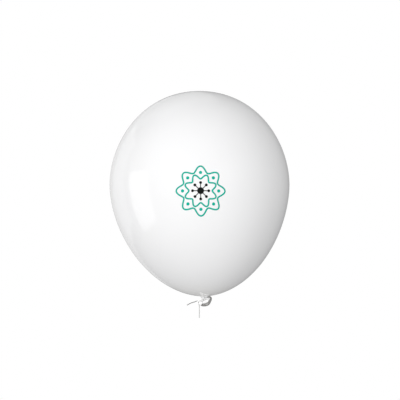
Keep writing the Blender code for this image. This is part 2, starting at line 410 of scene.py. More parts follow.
def smooth_path(points: Sequence[Vector], steps: int, closed: bool = False) -> list[Vector]:
    """Draws a smooth curve through points.

    Args:
        points: The points in turn.
        steps: How many steps it takes from each point to the next.
        closed: Whether it goes back to the first point.

    Returns:
        The points along the curve.
    """
    count = len(points)

    def at(i: int) -> Vector:
        """The point at that number, round the loop or held at the ends."""
        return points[i % count] if closed else points[min(max(i, 0), count - 1)]

    found = []
    for i in range(count if closed else count - 1):
        a, b, c, d = at(i - 1), at(i), at(i + 1), at(i + 2)
        for t in (k / steps for k in range(steps)):
            found.append(
                0.5 * (2 * b + (c - a) * t + (2 * a - 5 * b + 4 * c - d) * t * t
                       + (3 * b - a - 3 * c + d) * t ** 3)
            )
    return found if closed else [*found, points[-1].copy()]


def path_length(points: Sequence[Vector]) -> float:
    """The length along the points."""
    return sum((b - a).length for a, b in zip(points, points[1:]))


def even_steps(points: Sequence[Vector], step: float) -> list[Vector]:
    """Spaces an open path's points evenly, with its ends kept.

    Args:
        points: The path.
        step: About how far apart its points are to be.

    Returns:
        The new points.
    """
    total = path_length(points)
    count = max(2, round(total / step))
    found, walked, k = [points[0].copy()], 0.0, 1
    for a, b in zip(points, points[1:]):
        span = (b - a).length
        while k < count and walked + span >= k * total / count:
            found.append(a.lerp(b, (k * total / count - walked) / span))
            k += 1
        walked += span
    return [*found, points[-1].copy()]


def side_ways(points: Sequence[Vector], closed: bool) -> list[tuple[Vector, Vector]]:
    """Finds two directions across a path at each point, which turn as little as they can.

    Args:
        points: The path.
        closed: Whether the path is a loop, whose leftover turn is then shared out along it.

    Returns:
        A pair of unit vectors for each point.
    """
    count = len(points)
    ahead = []
    for i in range(count):
        before = points[i - 1] if closed or i else points[0]
        after = points[(i + 1) % count] if closed or i < count - 1 else points[-1]
        ahead.append((after - before).normalized())
    side = ahead[0].orthogonal().normalized()
    sides = [side]
    for a, b in zip(ahead, ahead[1:] + ([ahead[0]] if closed else [])):
        side = a.rotation_difference(b) @ side
        sides.append(side)
    leftover = 0.0
    if closed:
        last = sides.pop()
        leftover = math.atan2(last.cross(sides[0]).dot(ahead[0]), last.dot(sides[0]))
    found = []
    for i, (way, across) in enumerate(zip(ahead, sides)):
        other = way.cross(across)
        turn = leftover * i / count
        found.append((across * math.cos(turn) + other * math.sin(turn),
                      other * math.cos(turn) - across * math.sin(turn)))
    return found


def next_ring(bm: BMesh, ring: Sequence[BMVert], places: Sequence[Vector]) -> list[BMVert]:
    """Extrudes a ring of vertices and puts the new ones in place.

    Args:
        bm: The mesh.
        ring: The ring to extrude, in order.
        places: Where the new vertices go, in the same order.

    Returns:
        The new ring.
    """
    ours = set(ring)
    edges = {edge for vert in ring for edge in vert.link_edges if edge.other_vert(vert) in ours}
    made = bmesh.ops.extrude_edge_only(bm, edges=sorted(edges, key=lambda edge: edge.index))["geom"]
    fresh = {item for item in made if isinstance(item, BMVert)}
    found = [
        next(edge.other_vert(vert) for edge in vert.link_edges if edge.other_vert(vert) in fresh)
        for vert in ring
    ]
    for vert, place in zip(found, places):
        vert.co = place
    bm.edges.index_update()
    return found


def loft(bm: BMesh, rings: Sequence[Sequence[Vector]], closed: bool = False) -> list[list[BMVert]]:
    """Draws a skin through rings of points.

    Args:
        bm: The mesh to add it to.
        rings: The rings in turn, each with the same number of points.
        closed: Whether the last ring joins the first. An open skin keeps its ends open.

    Returns:
        The vertices of each ring.
    """
    first = bmesh.ops.create_circle(bm, segments=len(rings[0]), radius=1.0)["verts"]
    for vert, place in zip(first, rings[0]):
        vert.co = place
    bm.edges.index_update()
    made = [list(first)]
    for places in rings[1:]:
        made.append(next_ring(bm, made[-1], places))
    if closed:
        ends = [
            {edge for vert in ring for edge in vert.link_edges if len(edge.link_faces) == 1}
            for ring in (made[-1], made[0])
        ]
        bmesh.ops.bridge_loops(bm, edges=[*ends[0], *ends[1]])
    return made


def tube_rings(
    path: Sequence[Vector], sides: int, radius: Callable[[int, float], float], closed: bool = False
) -> list[list[Vector]]:
    """Places rings of points round a path.

    Args:
        path: The points of its centre line.
        sides: How many points a ring has.
        radius: The distance from the path, for a point's number along it and an angle round it.
        closed: Whether the path is a loop.

    Returns:
        The rings.
    """
    rings = []
    for i, (centre, (across, other)) in enumerate(zip(path, side_ways(path, closed))):
        ring = []
        for k in range(sides):
            angle = math.tau * k / sides
            ring.append(centre + (across * math.cos(angle) + other * math.sin(angle)) * radius(i, angle))
        rings.append(ring)
    return rings


def close_ends(bm: BMesh, rings: Sequence[Sequence[BMVert]]) -> None:
    """Closes the first and the last ring of an open skin.

    Args:
        bm: The mesh.
        rings: The skin's rings.
    """
    for ring in (rings[0], rings[-1]):
        edges = {edge for vert in ring for edge in vert.link_edges if len(edge.link_faces) < 2}
        bmesh.ops.holes_fill(bm, edges=list(edges), sides=0)


def fix_order(bm: BMesh) -> None:
    """Sorts a mesh's parts along one slanting direction, so that each run gives them in the same order.

    Args:
        bm: The mesh.
    """
    bm.verts.sort(key=lambda vert: vert.co.dot(ORDER_WAY))
    bm.edges.sort(key=lambda edge: (edge.verts[0].co + edge.verts[1].co).dot(ORDER_WAY))
    bm.faces.sort(key=lambda face: face.calc_center_median().dot(ORDER_WAY))


def ripple(point: Vector, scale: float, seed: float) -> float:
    """Smooth unevenness from -1 to 1 at a point, with that many waves a metre."""
    return noise.noise(point * scale + Vector((seed, 2.3 * seed, -seed)))


@dataclass(frozen=True)
class Piece:
    """One finished piece and what it stands for."""

    name: str
    slot: Slot
    replaces: tuple[str, ...]

    def finish(self, bm: BMesh, material: bpy.types.Material) -> bpy.types.Object:
        """Makes the object, which rides on the balloon's one body.

        Args:
            bm: The piece's mesh, which is freed.
            material: Its finish.

        Returns:
            The object.
        """
        bmesh.ops.recalc_face_normals(bm, faces=bm.faces)
        fix_order(bm)
        mesh = bpy.data.meshes.new(self.name)
        bm.to_mesh(mesh)
        bm.free()
        mesh.materials.append(material)
        mesh.shade_smooth()
        obj = bpy.data.objects.new(self.name, mesh)
        bpy.context.scene.collection.objects.link(obj)
        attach(obj, BODY)
        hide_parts(*self.replaces)
        LOG.info("%s: %d faces, for %s", self.name, len(mesh.polygons), ", ".join(self.replaces))
        return obj


# The balloon


@dataclass
class Envelope:
    """The blown-up bag: nearly round, with a longer lower half and a short collar under it."""

    half_width: float = 140 * MM
    height_above: float = 146.1 * MM
    depth_below: float = 173.4 * MM
    wall: float = 0.4 * MM
    upper_powers: tuple[float, float] = (1.91, 2.11)
    lower_powers: tuple[float, float] = (1.79, 1.9)
    lean: float = 5.5 * MM
    lean_power: float = 2.0
    collar_turn: tuple[tuple[float, float], ...] = (
        (8.0 * MM, 0.0), (6.4 * MM, 0.07), (5.2 * MM, 0.19), (4.4 * MM, 0.35),
        (3.9 * MM, 0.55), (3.6 * MM, 0.8), (3.5 * MM, 1.0),
    )
    collar_depth: float = 174.6 * MM
    rings_above: int = 40
    rings_below: int = 48
    segments: int = 168
    flutes: int = 14
    flute_depth: float = 0.075
    flute_reach: float = 26 * MM
    flute_fade: float = 2.2
    flute_drift: float = 1.3
    finish: Latex = field(default_factory=lambda: Latex(
        "white_latex_skin", (0.88, 0.88, 0.885), (0.90, 0.895, 0.88), 0.12, 900.0,
    ))

    def radius(self, z: float) -> float:
        """Works out the skin's outer radius.

        Args:
            z: The height.

        Returns:
            The radius there.
        """
        if z >= 0:
            share, (a, b) = z / self.height_above, self.upper_powers
        else:
            share, (a, b) = -z / self.depth_below, self.lower_powers
        return self.half_width * max(0.0, 1 - min(share, 1.0) ** a) ** (1 / b)

    def axis_shift(self, z: float) -> float:
        """How far the section's centre lies to the right at a height."""
        return self.lean * min(max(-z, 0.0) / self.depth_below, 1.0) ** self.lean_power

    def outline(self) -> list[tuple[float, float]]:
        """Draws the outer skin's half section.

        Returns:
            Its (radius, height) points, from the crown to the collar's edge.
        """
        points = [(0.0, self.height_above)]
        for i in range(self.rings_above - 1, -1, -1):
            z = self.height_above * math.sin(math.pi / 2 * i / self.rings_above)
            points.append((self.radius(z), z))
        turn_radius = self.collar_turn[0][0]
        for i in range(1, self.rings_below):
            z = -self.depth_below * math.sin(math.pi / 2 * i / self.rings_below)
            if self.radius(z) > turn_radius:
                points.append((self.radius(z), z))
        share = 1 - (turn_radius / self.half_width) ** self.lower_powers[1]
        turn_z = -self.depth_below * share ** (1 / self.lower_powers[0])
        fall = self.collar_depth + turn_z
        points += [(radius, turn_z - down * fall) for radius, down in self.collar_turn]
        return points

    def build(self) -> bpy.types.Object:
        """Spins the outline, draws it in at the collar, leans it and gives it a wall.

        Returns:
            The envelope's object.
        """
        bm = bmesh.new()
        verts = [bm.verts.new((radius, 0, z)) for radius, z in self.outline()]
        edges = [bm.edges.new(pair) for pair in zip(verts, verts[1:])]
        bmesh.ops.spin(
            bm, geom=verts + edges, cent=(0, 0, 0), axis=(0, 0, 1), angle=math.tau,
            steps=self.segments, use_merge=True,
        )
        bmesh.ops.remove_doubles(bm, verts=bm.verts, dist=1e-6)
        for vert in bm.verts:
            aside = math.hypot(vert.co.x, vert.co.y)
            if vert.co.z < 0 and aside < self.flute_reach:
                fade = (1 - aside / self.flute_reach) ** self.flute_fade
                angle = math.atan2(vert.co.y, vert.co.x)
                wave = math.cos(self.flutes * angle + self.flute_drift * math.sin(3 * angle))
                factor = 1 + self.flute_depth * fade * (wave - 1) / 2
                vert.co.x *= factor
                vert.co.y *= factor
            vert.co.x += self.axis_shift(vert.co.z)
        obj = Piece("latex_envelope", Slot.WHITE_LATEX, ("envelope",)).finish(bm, self.finish.material())
        wall = obj.modifiers.new("Wall", "SOLIDIFY")
        wall.thickness = self.wall
        wall.offset = -1
        wall.use_even_offset = True
        wall.use_rim = True
        return obj


@dataclass
class Neck:
    """The gathered rubber between the collar and the knot."""

    stations: tuple[tuple[Colour, float], ...] = (
        ((5.6, 0.0, -173.8), 2.75),
        ((5.5, 0.0, -174.7), 3.15),
        ((4.9, -0.1, -176.8), 2.85),
        ((4.1, -0.2, -178.4), 2.05),
        ((3.8, -0.2, -179.2), 1.6),
        ((3.6, -0.2, -180.4), 1.55),
        ((3.2, -0.3, -181.6), 1.9),
        ((2.6, -0.4, -183.2), 2.1),
    )
    sides: int = 72
    steps: int = 6
    pleats: int = 9
    pleat_depth: float = 0.16
    pleat_drift: float = 0.6
    twist: float = 0.9
    finish: Latex = field(default_factory=lambda: Latex(
        "gathered_latex", (0.91, 0.91, 0.91), (0.91, 0.91, 0.91), 0.36, 1400.0, 0.5,
    ))

    def build(self) -> bpy.types.Object:
        """Lofts the pleated sections down the neck.

        Returns:
            The neck's object.
        """
        centres = smooth_path([Vector(place) * MM for place, _ in self.stations], self.steps)
        radii = smooth_path([Vector((radius * MM, 0, 0)) for _, radius in self.stations], self.steps)
        rings = []
        for i, (centre, radius) in enumerate(zip(centres, radii)):
            down = i / (len(centres) - 1)
            ring = []
            for k in range(self.sides):
                angle = math.tau * k / self.sides
                phase = self.pleats * (angle + self.twist * down) / 2 + self.pleat_drift * math.sin(2 * angle)
                out = radius.x * (1 - self.pleat_depth * (1 - abs(math.cos(phase))))
                ring.append(centre + Vector((math.cos(angle), math.sin(angle), 0)) * out)
            rings.append(ring)
        bm = bmesh.new()
        close_ends(bm, loft(bm, rings))
        return Piece("gathered_neck", Slot.GATHERED_LATEX, ("neck",)).finish(bm, self.finish.material())


@dataclass
class RubberKnot:
    """The overhand knot: a fat wrap of creased rubber round its own core."""

    centre: Vector = field(default_factory=lambda: Vector((1.8, -0.6, -184.3)) * MM)
    wrap_radius: float = 1.85 * MM
    depth_share: float = 0.85
    strand: float = 1.38 * MM
    tilt: float = math.radians(15)
    core: Colour = (2.2 * MM, 2.0 * MM, 2.7 * MM)
    core_segments: tuple[int, int] = (48, 32)
    core_creases: int = 8
    core_crease_depth: float = 0.06
    stations: int = 90
    sides: int = 40
    creases: int = 6
    crease_depth: float = 0.13
    crease_sharpness: float = 1.5
    crease_turns: int = 2
    swell: float = 0.05
    swell_place: float = 0.8
    voxel: float = 0.13 * MM
    soften_factor: float = 0.5
    soften_rounds: int = 3

    def build(self, finish: Latex) -> bpy.types.Object:
        """Sweeps the wrap, adds the core, and runs the two into one skin.

        Args:
            finish: The gathered rubber's finish.

        Returns:
            The knot's object.
        """
        path = []
        for k in range(self.stations):
            angle = math.tau * k / self.stations
            x = self.wrap_radius * math.cos(angle)
            y = self.wrap_radius * self.depth_share * math.sin(angle)
            path.append(self.centre + Vector((x, y, x * math.tan(self.tilt))))

        def thickness(i: int, angle: float) -> float:
            """Gives the strand creases that wind round it.

            Args:
                i: The point's number along the wrap.
                angle: The angle round the strand.

            Returns:
                The strand's radius there.
            """
            turn = self.crease_turns * math.tau * i / self.stations
            crest = abs(math.cos((self.creases * angle + turn) / 2))
            swell = 1 + self.swell * math.cos(math.tau * i / self.stations + self.swell_place)
            return self.strand * swell * (1 - self.crease_depth * (1 - crest) ** self.crease_sharpness)

        bm = bmesh.new()
        loft(bm, tube_rings(path, self.sides, thickness, closed=True), closed=True)
        around, down = self.core_segments
        ball = bmesh.ops.create_uvsphere(bm, u_segments=around, v_segments=down, radius=1)["verts"]
        for vert in ball:
            angle = math.atan2(vert.co.y, vert.co.x)
            vert.co *= 1 - self.core_crease_depth * (1 - abs(math.cos(self.core_creases * angle / 2)))
        bmesh.ops.scale(bm, vec=self.core, verts=ball)
        bmesh.ops.translate(bm, vec=self.centre, verts=ball)
        obj = Piece("rubber_knot", Slot.GATHERED_LATEX, ("knot",)).finish(bm, finish.material())
        fuse = obj.modifiers.new("Fuse", "REMESH")
        fuse.mode = "VOXEL"
        fuse.voxel_size = self.voxel
        fuse.use_smooth_shade = True
        soften = obj.modifiers.new("Soften", "SMOOTH")
        soften.factor = self.soften_factor
        soften.iterations = self.soften_rounds
        return obj


@dataclass
class Mouth:
    """The flared end of the balloon past its knot, with the rolled lip round its edge."""

    throat: Vector = field(default_factory=lambda: Vector((3.8, -0.3, -183.7)) * MM)
    throat_radius: float = 1.7 * MM
    reach: float = 4.6 * MM
    wall: float = 0.35 * MM
    lip_stations: tuple[tuple[Colour, float], ...] = (
        ((3.6, 5.2, -186.2), 2.0),
        ((8.5, 3.6, -186.4), 2.4),
        ((13.2, 3.4, -184.9), 2.4),
        ((15.8, 3.8, -181.1), 2.2),
        ((17.5, 5.2, -177.0), 1.7),
        ((16.5, 7.2, -174.4), 1.5),
        ((12.1, 9.8, -174.7), 1.5),
        ((7.4, 10.2, -177.1), 1.5),
        ((3.6, 8.6, -181.9), 1.7),
    )
    lip_steps: int = 16
    lip_sides: int = 28
    rings: int = 22
    folds: int = 9
    fold_depth: float = 0.14 * MM
    fold_share: float = 0.8
    fold_power: float = 0.8
    fold_fade: float = 0.4
    fold_end: float = 1 / 1.05
    fold_drift: float = 1.1
    fold_twist: float = 0.5
    flare: float = 0.5
    near_grip: float = 0.8
    near_past: float = 0.4
    far_out: float = 0.9
    far_back: float = 0.55
    front: Vector = field(default_factory=lambda: Vector((0.0, 1.0, 0.0)))
    far_way: Vector = field(default_factory=lambda: Vector((-0.35, 1.0, 0.0)))
    far_from: float = 3.0 * MM
    far_to: float = 5.4 * MM
    seam_place: float = 0.9
    seam_wander: float = 0.35
    seam_waves: int = 3
    seam_step: float = 0.10
    seam_width: float = 0.22
    ridge_place: float = 0.5
    ridge_width: float = 0.3
    ridge_share: float = 0.5
    lip_inset: float = 0.02
    lip_unevenness: float = 0.05
    lip_ripples: float = 260.0
    lip_seed: float = 4.0
    finish: Latex = field(default_factory=lambda: Latex(
        "folded_latex", (0.93, 0.93, 0.93), (0.93, 0.93, 0.93), 0.34, 1400.0, 0.6,
    ))
    # Painted shade: the rolled lip is the same white latex as the mouth, painted dark grey for the shade it
    # lies in under the balloon.
    lip_painted_shade_finish: Latex = field(default_factory=lambda: Latex(
        "rolled_latex_painted_shade", (0.19, 0.187, 0.181), (0.19, 0.187, 0.181), 0.24, 1400.0,
    ))

    def lip_path(self) -> list[Vector]:
        """The lip's centre line."""
        places = [Vector(place) * MM for place, _ in self.lip_stations]
        return smooth_path(places, self.lip_steps, closed=True)

    def lip_radii(self) -> list[float]:
        """The bead's radius at each point of the centre line."""
        radii = [Vector((radius * MM, 0, 0)) for _, radius in self.lip_stations]
        return [radius.x for radius in smooth_path(radii, self.lip_steps, closed=True)]

    def build_funnel(self) -> bpy.types.Object:
        """Lofts the funnel from the throat to the lip, with folds that die out towards the lip.

        Each line ends inside the bead on the near side, and over it on the far side.

        Returns:
            The funnel's object.
        """
        lip = self.lip_path()
        middle = sum(lip, Vector()) / len(lip)
        axis = (middle - self.throat).normalized()
        across = axis.cross(Vector((0, 0, 1))).normalized()
        up = across.cross(axis)
        lines = []
        for i, (end, bead) in enumerate(zip(lip, self.lip_radii())):
            away = end - self.throat
            outward = (across * away.dot(across) + up * away.dot(up)).normalized()
            start = self.throat + outward * self.throat_radius
            turn = start + axis * self.reach + outward * self.flare * self.throat_radius
            along = (lip[(i + 1) % len(lip)] - lip[i - 1]).normalized()
            square = (end - turn) - along * (end - turn).dot(along)
            far = min(1.0, max(0.0, (end.dot(self.far_way) - self.far_from) / (self.far_to - self.far_from)))
            inner = end - square.normalized() * self.near_grip * bead + axis * self.near_past * bead
            beyond = self.front.cross(along).normalized()
            beyond *= math.copysign(1, beyond.dot(end - middle))
            stop = inner.lerp(end + (beyond * self.far_out - self.front * self.far_back) * bead, far)
            angle = math.atan2(outward.dot(up), outward.dot(across))
            line = []
            for k in range(self.rings + 1):
                t = k / self.rings
                point = (1 - t) ** 2 * start + 2 * t * (1 - t) * turn + t * t * stop
                phase = self.folds * angle + self.fold_drift * math.sin(2 * angle) + self.fold_twist * t
                wave = math.copysign(abs(math.cos(phase)) ** self.fold_power, math.cos(phase))
                swell = math.sin(math.pi * min(1.0, t / self.fold_end)) ** self.fold_power
                depth = self.fold_depth * swell * (1 - self.fold_fade * t)
                lean_out = (outward * (1 - t) - axis * t).normalized()
                line.append(point + lean_out * depth * wave * self.fold_share)
            lines.append(line)
        bm = bmesh.new()
        loft(bm, [[line[k] for line in lines] for k in range(self.rings + 1)])
        obj = Piece("flared_mouth", Slot.GATHERED_LATEX, ("mouth",)).finish(bm, self.finish.material())
        wall = obj.modifiers.new("Wall", "SOLIDIFY")
        wall.thickness = self.wall
        wall.offset = 0
        wall.use_rim = True
        return obj

    def build_lip(self) -> bpy.types.Object:
        """Sweeps the bead of the rolled edge, with the step where the roll ends.

        Returns:
            The bead's object.
        """
        path, radii = self.lip_path(), self.lip_radii()

        def thickness(i: int, angle: float) -> float:
            """Makes the bead uneven along it, and steps it where the roll ends.

            Args:
                i: The point's number along the lip.
                angle: The angle round the bead.

            Returns:
                The bead's radius there.
            """
            seam = self.seam_place + self.seam_wander * math.sin(math.tau * self.seam_waves * i / len(path))
            off = (angle - seam + math.pi) % math.tau - math.pi
            groove = math.exp(-(off / self.seam_width) ** 2)
            ridge = math.exp(-((off - self.ridge_place) / self.ridge_width) ** 2)
            step = self.seam_step * (groove - self.ridge_share * ridge)
            uneven = self.lip_unevenness * ripple(path[i], self.lip_ripples, self.lip_seed)
            return radii[i] * (1 - step - self.lip_inset + uneven)

        bm = bmesh.new()
        loft(bm, tube_rings(path, self.lip_sides, thickness, closed=True), closed=True)
        return Piece("rolled_edge", Slot.LIP_LATEX, ("rolled_lip",)).finish(bm, self.lip_painted_shade_finish.material())


@dataclass
class TiedString:
    """One length of twisted string: a cut end, the knot, a turn round the neck, and a hanging cut end."""

    diameter: float = 1.3 * MM
    short_tail: tuple[Colour, ...] = (
        (-19.2, -2.5, -187.4), (-15.4, -2.3, -185.1), (-12.3, -2.0, -183.7), (-9.2, -1.7, -182.7),
        (-5.9, -1.3, -181.6), (-3.0, -0.8, -180.2),
    )
    turn_centre: Colour = (3.7, -0.2, -179.9)
    turn_radius: float = 2.4
    turn_points: int = 12
    turn_rise: float = 0.4
    turn_gap: float = math.radians(12)
    into_turn: Colour = (-0.7, -1.0, -179.5)
    out_of_turn: Colour = (-0.9, 0.1, -180.8)
    long_tail: tuple[Colour, ...] = (
        (-1.5, 0.9, -181.9), (-1.3, 2.0, -183.4), (-0.8, 2.7, -185.4), (-0.3, 2.7, -188.6),
        (-0.2, 2.6, -193.0), (-0.2, 2.5, -199.5), (-0.2, 2.5, -206.7),
    )
    knot_centre: Colour = (-1.15, -0.6, -179.9)
    knot_half_sizes: Colour = (1.5, 1.4, 1.6)
    knot_strand: float = 0.42
    knot_points: int = 90
    strands: int = 3
    strand_place: float = 0.46
    lay_length: float = 4.4 * MM
    sides: int = 36
    unevenness: float = 0.03
    ripples: float = 700.0
    seed: float = 9.0
    steps: int = 16
    step: float = 0.33 * MM
    # The third colour and the length after it are painted shade on the short cut end.
    finish: Twine = field(default_factory=lambda: Twine(
        "white_twine", (0.72, 0.72, 0.71), (0.40, 0.40, 0.39), (0.30, 0.30, 0.29), 18 * MM,
    ))
    # Painted light: the string's knot is the same twine as the rest, given a whiter tone for the light it is
    # seen in.
    hitch_painted_light_finish: Twine = field(default_factory=lambda: Twine(
        "twine_knot_painted_light", (0.93, 0.93, 0.92), (0.80, 0.80, 0.79), (0.93, 0.93, 0.92), 0.001 * MM,
    ))

    def route(self) -> list[Vector]:
        """Draws the centre line of the whole string.

        Returns:
            Its points, from the short tail's end to the hanging tail's end.
        """
        centre = Vector(self.turn_centre)
        turn = []
        for k in range(self.turn_points + 1):
            share = k / self.turn_points
            angle = math.pi + self.turn_gap + (math.tau - 2 * self.turn_gap) * share
            turn.append(centre + Vector((
                self.turn_radius * math.cos(angle), self.turn_radius * math.sin(angle),
                self.turn_rise * (1 - 2 * share),
            )))
        points = [*map(Vector, (*self.short_tail, self.into_turn)), *turn,
                  *map(Vector, (self.out_of_turn, *self.long_tail))]
        return even_steps(smooth_path([point * MM for point in points], self.steps), self.step)

    def strand_section(self, angle: float, place: float) -> float:
        """Works out the section of the strands side by side.

        Args:
            angle: The angle from the first strand.
            place: How far out a strand's middle lies, as a share of the string's radius.

        Returns:
            The outer radius, as a share of the string's.
        """
        share = math.tau / self.strands
        off = (angle + share / 2) % share - share / 2
        round_radius = 1 - place
        return place * math.cos(off) + math.sqrt(max(0.0, round_radius ** 2 - (place * math.sin(off)) ** 2))

    def add_twisted(self, bm: BMesh, path: Sequence[Vector], diameter: float, closed: bool) -> None:
        """Sweeps the twisted strands along a path and writes their lay on the mesh.

        Args:
            bm: The mesh to add them to.
            path: The centre line, in even steps.
            diameter: The string's diameter.
            closed: Whether the path is a loop.
        """
        lay = bm.verts.layers.float_vector.new("lay")
        step = (path[1] - path[0]).length
        turns = len(path) * step / self.lay_length
        if closed:
            turns = round(turns)
        per_point = math.tau * turns / len(path)

        def thickness(i: int, angle: float) -> float:
            """The radius at an angle, with the strands turned by the lay and a little unevenness."""
            uneven = 1 + self.unevenness * ripple(path[i], self.ripples, self.seed)
            return diameter / 2 * uneven * self.strand_section(angle - per_point * i, self.strand_place)

        rings = loft(bm, tube_rings(path, self.sides, thickness, closed), closed)
        if not closed:
            close_ends(bm, rings)
        for i, ring in enumerate(rings):
            for k, vert in enumerate(ring):
                angle = math.tau * k / self.sides - per_point * i
                vert[lay] = Vector((math.cos(angle), math.sin(angle), i * step))

    def knot_loop(self, strand: float) -> list[Vector]:
        """Draws the knot's centre line, a trefoil knot that fills the knot's size.

        Args:
            strand: The radius of the string in the knot.

        Returns:
            The points of the closed loop.
        """
        loop = []
        for k in range(self.knot_points):
            t = math.tau * k / self.knot_points
            loop.append((
                math.sin(t) + 2 * math.sin(2 * t), math.sin(3 * t), math.cos(t) - 2 * math.cos(2 * t)
            ))
        reach = [max(abs(point[axis]) for point in loop) for axis in range(3)]
        scale = [(half * MM - strand) / far for half, far in zip(self.knot_half_sizes, reach)]
        centre = Vector(self.knot_centre) * MM
        return [centre + Vector(c * s for c, s in zip(point, scale)) for point in loop]

    def build(self) -> bpy.types.Object:
        """Returns:
            The string's object.
        """
        strand = self.knot_strand * self.diameter
        bm = bmesh.new()
        self.add_twisted(bm, self.knot_loop(strand), 2 * strand, closed=True)
        knot = Piece("string_hitch", Slot.TWINE, ("string_knot",)).finish(bm, self.hitch_painted_light_finish.material())
        path = self.route()
        bm = bmesh.new()
        self.add_twisted(bm, path, self.diameter, closed=False)
        tied = Piece(
            "tied_string", Slot.TWINE, ("string_wrap", "string_tail_short", "string_tail_long")
        ).finish(bm, self.finish.material())
        length = path_length(path)
        LOG.info("string: %.1f mm long", length / MM)
        return tied


@dataclass
class Rosette:
    """The printed emblem: two scalloped lines, dots between them, and a dotted burst."""

    envelope: Envelope
    centre: tuple[float, float] = (1.6 * MM, -26.5 * MM)
    line_width: float = 2.3 * MM
    lift: float = 0.08 * MM
    thickness: float = 0.12 * MM
    scallops: int = 8
    steps: int = 384
    dot_segments: int = 28
    burst_dot_steps: int = 20
    hub_steps: int = 6
    mesh_step: float = 2 * MM
    outer: tuple[float, float] = (32 * MM, 4.5 * MM)
    inner: tuple[float, float] = (21 * MM, 3.5 * MM)
    dot_place: float = 27 * MM
    dot_radius: float = 2.4 * MM
    hub_radius: float = 5 * MM
    spoke_width: float = 1.2 * MM
    burst_dot_place: float = 12 * MM
    burst_dot_radius: float = 2.1 * MM
    first_ink: Ink = field(default_factory=lambda: Ink(
        "teal_ink", (0.0, 0.42, 0.315), (0.02, 0.50, 0.40), 0.36,
    ))
    second_ink: Ink = field(default_factory=lambda: Ink(
        "black_ink", (0.007, 0.007, 0.0072), (0.02, 0.02, 0.02), 0.38,
    ))

    def on_skin(self, across: float, up: float) -> Vector:
        """Finds a point of the skin's printed side.

        Args:
            across: How far right of the emblem's centre it is, along the skin.
            up: How far above the centre it is.

        Returns:
            The point.
        """
        z = self.centre[1] + up
        radius = self.envelope.radius(z) + self.lift
        angle = (self.centre[0] + across) / radius
        return Vector((self.envelope.axis_shift(z) + radius * math.sin(angle), -radius * math.cos(angle), z))

    def lay_on(self, bm: BMesh, piece: Piece, ink: Ink) -> bpy.types.Object:
        """Lays a flat shape, drawn in X and Z, on the skin and gives the ink its thickness.

        Args:
            bm: The flat shape.
            piece: What it is and stands for.
            ink: Its finish.

        Returns:
            The finished piece.
        """
        for vert in bm.verts:
            vert.co = self.on_skin(vert.co.x, vert.co.z)
        bm.normal_update()
        if sum(face.normal.y * face.calc_area() for face in bm.faces) > 0:
            bmesh.ops.reverse_faces(bm, faces=bm.faces)
        skin = list(bm.faces)
        upper = bmesh.ops.extrude_face_region(bm, geom=skin, use_keep_orig=True)["geom"]
        for vert in (item for item in upper if isinstance(item, BMVert)):
            centre = Vector((self.envelope.axis_shift(vert.co.z), 0, vert.co.z))
            vert.co += (vert.co - centre).normalized() * self.thickness
        return piece.finish(bm, ink.material())

    def add_line(self, bm: BMesh, radius: float, wave: float, turn: float) -> None:
        """Adds a scalloped line of even width.

        Args:
            bm: The flat shape to add it to.
            radius: Its mean radius.
            wave: How far it swings in and out.
            turn: The angle of its wave at the right.
        """
        edges = []
        for side in (-0.5, 0.5):
            ring = bmesh.ops.create_circle(bm, segments=self.steps, radius=1.0)["verts"]
            for k, vert in enumerate(ring):
                angle = math.tau * k / self.steps
                phase = self.scallops * angle + turn
                r = radius + wave * math.cos(phase)
                out = Vector((math.cos(angle), 0, math.sin(angle)))
                along = Vector((-math.sin(angle), 0, math.cos(angle)))
                normal = (out * r + along * wave * self.scallops * math.sin(phase)).normalized()
                vert.co = out * r + normal * side * self.line_width
            edges += {edge for vert in ring for edge in vert.link_edges}
        bmesh.ops.bridge_loops(bm, edges=edges)

    def add_dot(self, bm: BMesh, across: float, up: float, radius: float) -> None:
        """Adds one round dot.

        Args:
            bm: The flat shape to add it to.
            across: How far right of the emblem's centre it is.
            up: How far above the centre it is.
            radius: Its radius.
        """
        ring = bmesh.ops.create_circle(bm, segments=self.dot_segments, radius=radius, cap_ends=True)["verts"]
        for vert in ring:
            vert.co = Vector((vert.co.x + across, 0, vert.co.y + up))

    def burst_outline(self) -> list[tuple[float, float]]:
        """Draws the outline round the hub, its spokes and the dots at their ends.

        Returns:
            Its (across, up) points.
        """
        half = self.spoke_width / 2
        at_hub = math.sqrt(self.hub_radius ** 2 - half ** 2)
        opening = math.asin(half / self.burst_dot_radius)
        points = []
        for s in range(self.scallops):
            local = [(at_hub, -half)]
            for k in range(self.burst_dot_steps + 1):
                turn = (math.pi - opening) * (2 * k / self.burst_dot_steps - 1)
                local.append((self.burst_dot_place + self.burst_dot_radius * math.cos(turn),
                              self.burst_dot_radius * math.sin(turn)))
            local.append((at_hub, half))
            start = math.asin(half / self.hub_radius)
            for k in range(1, self.hub_steps):
                turn = start + (math.tau / self.scallops - 2 * start) * k / self.hub_steps
                local.append((self.hub_radius * math.cos(turn), self.hub_radius * math.sin(turn)))
            angle = math.tau * s / self.scallops
            points += [(x * math.cos(angle) - z * math.sin(angle), x * math.sin(angle) + z * math.cos(angle))
                       for x, z in local]
        return points

    def cut_small(self, bm: BMesh, reach: float) -> None:
        """Cuts a flat shape into small faces, so that it can bend over the skin.

        Args:
            bm: The flat shape.
            reach: How far from the centre the cuts go.
        """
        count = math.ceil(reach / self.mesh_step)
        for normal in ((1, 0, 0), (0, 0, 1)):
            for k in range(-count, count + 1):
                at = Vector(normal) * (k + 0.5) * self.mesh_step
                bmesh.ops.bisect_plane(
                    bm, geom=[*bm.verts, *bm.edges, *bm.faces], dist=1e-7, plane_co=at, plane_no=normal
                )

